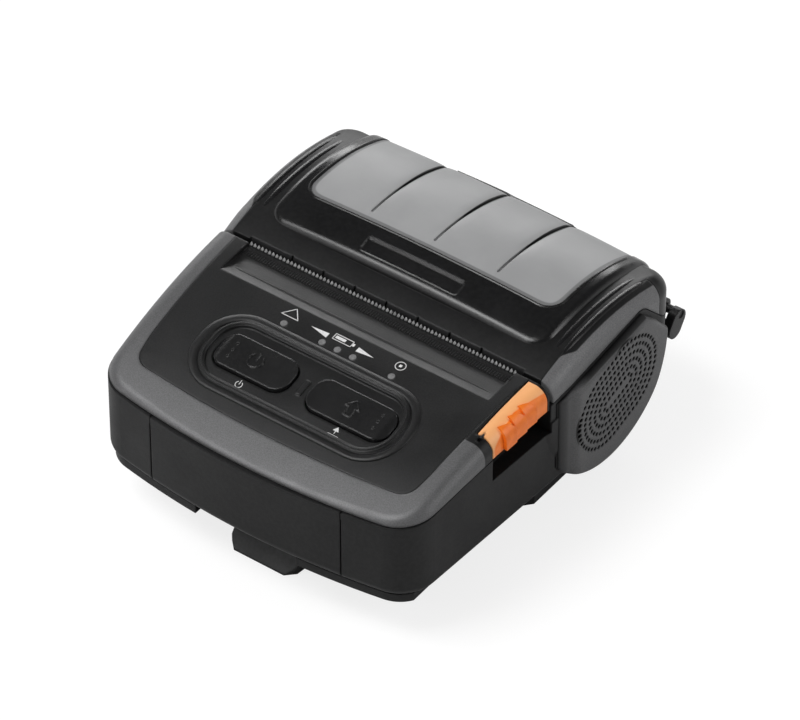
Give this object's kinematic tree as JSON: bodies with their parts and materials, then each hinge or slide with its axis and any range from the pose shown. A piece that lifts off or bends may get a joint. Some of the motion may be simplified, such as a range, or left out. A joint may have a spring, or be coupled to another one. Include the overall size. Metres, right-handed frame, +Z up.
{
  "type": "portable label printer",
  "caption": "Belt-worn label printer with a hinged roll cover, tear bar, two keys, release lever, slide-out battery and a sprung belt clip.",
  "frame": {"origin": "on the floor under the centre of the whole object's box", "axes": "+Z up, front with the battery plate towards -Y, +X to the operator's right"},
  "size_m": [0.1112, 0.1274, 0.0563],
  "materials": {
    "tub_plastic": "black satin plastic",
    "graphite_paint": "graphite metallic paint on plastic",
    "panel_plastic": "black fine textured plastic",
    "lens_plastic": "grey clear plastic",
    "steel_sheet": "thin steel sheet",
    "cover_plastic": "black smooth plastic",
    "window_plastic": "smoke grey plastic pane",
    "lever_plastic": "orange plastic",
    "head_metal": "bare aluminium with ceramic strip",
    "motor_metal": "plated can",
    "brass": "machined brass",
    "gear_plastic": "white acetal",
    "steel_shaft": "ground steel",
    "platen_rubber": "ground black rubber",
    "board": "green circuit board",
    "components": "moulded parts",
    "shield": "plated sheet",
    "battery_plastic": "black case of the pack",
    "clip_plastic": "black plastic",
    "clip_bar": "black coated steel"
  },
  "bodies": {
    "housing": {"lower_case": "tub_plastic", "base_skirt": "tub_plastic", "front_bezel": "graphite_paint", "control_panel": "panel_plastic", "status_lenses": "lens_plastic", "tear_bar": "steel_sheet", "cheek_left": "graphite_paint", "cheek_right": "graphite_paint", "roll_bucket": "tub_plastic", "paper_sensor": "components", "mechanism_frame": "steel_sheet", "head_spring": "steel_sheet", "stepper_motor": "motor_metal", "main_board": "board", "key_switches": "components", "radio_module": "shield", "usb_socket": "shield", "charge_socket": "components", "cover_switch": "components", "lever_pin": "steel_shaft", "hinge_pin": "steel_shaft", "battery_contacts": "shield", "case_screws": "steel_shaft"},
    "cover": {"cover_shell": "cover_plastic", "cover_hood": "cover_plastic", "cover_window": "window_plastic", "cover_trim_left": "graphite_paint", "cover_trim_right": "graphite_paint", "platen_bushings": "gear_plastic"},
    "platen": {"platen_roller": "platen_rubber", "platen_shaft": "steel_shaft", "platen_gear": "gear_plastic"},
    "reduction": {"reduction_gear": "gear_plastic"},
    "pinion": {"motor_pinion": "brass"},
    "head": {"print_head": "head_metal"},
    "lever": {"release_lever": "lever_plastic"},
    "power_key": {"power_button": "panel_plastic"},
    "feed_key": {"feed_button": "panel_plastic"},
    "battery": {"battery_pack": "battery_plastic", "battery_face": "tub_plastic"},
    "clip": {"belt_clip": "clip_plastic", "clip_pin": "clip_bar"}
  },
  "joints": [
    {"name": "cover_hinge", "type": "hinge", "parent": "housing", "child": "cover", "pos_m": [0, 0.0518, 0.0354], "axis": [-1, 0, 0], "range_deg": [0, 90]},
    {"name": "platen_spin", "type": "hinge", "parent": "cover", "child": "platen", "pos_m": [0, 0.001, 0.0426], "axis": [1, 0, 0], "continuous": true},
    {"name": "reduction_spin", "type": "hinge", "parent": "housing", "child": "reduction", "pos_m": [0, -0.00381, 0.03621], "axis": [1, 0, 0], "continuous": true},
    {"name": "pinion_spin", "type": "hinge", "parent": "housing", "child": "pinion", "pos_m": [0, -0.01529, 0.0327], "axis": [1, 0, 0], "continuous": true},
    {"name": "head_pivot", "type": "hinge", "parent": "housing", "child": "head", "pos_m": [0, -0.0052, 0.0334], "axis": [1, 0, 0], "range_deg": [0, 1.5], "stiffness_Nm_per_rad": 2, "springref_deg": -2.86},
    {"name": "lever_pivot", "type": "hinge", "parent": "housing", "child": "lever", "pos_m": [0.0482, -0.0157, 0.0475], "axis": [0, -1, 0], "range_deg": [0, 12], "stiffness_Nm_per_rad": 0.02, "springref_deg": -11.46},
    {"name": "power_key_press", "type": "slide", "parent": "housing", "child": "power_key", "axis": [0, 0.2059, -0.9786], "range_m": [0, 0.0006], "stiffness_N_per_m": 400},
    {"name": "feed_key_press", "type": "slide", "parent": "housing", "child": "feed_key", "axis": [0, 0.2059, -0.9786], "range_m": [0, 0.0006], "stiffness_N_per_m": 400},
    {"name": "battery_slide", "type": "slide", "parent": "housing", "child": "battery", "axis": [0, -1, 0], "range_m": [0, 0.06]},
    {"name": "clip_pivot", "type": "hinge", "parent": "housing", "child": "clip", "pos_m": [0, 0.0613, 0.0262], "axis": [1, 0, 0], "range_deg": [0, 15], "stiffness_Nm_per_rad": 0.6, "springref_deg": -8.59}
  ],
  "couplings": [
    {"joint": "reduction_spin", "follows": "platen_spin", "ratio": -1.2857},
    {"joint": "pinion_spin", "follows": "platen_spin", "ratio": 3.8571}
  ]
}
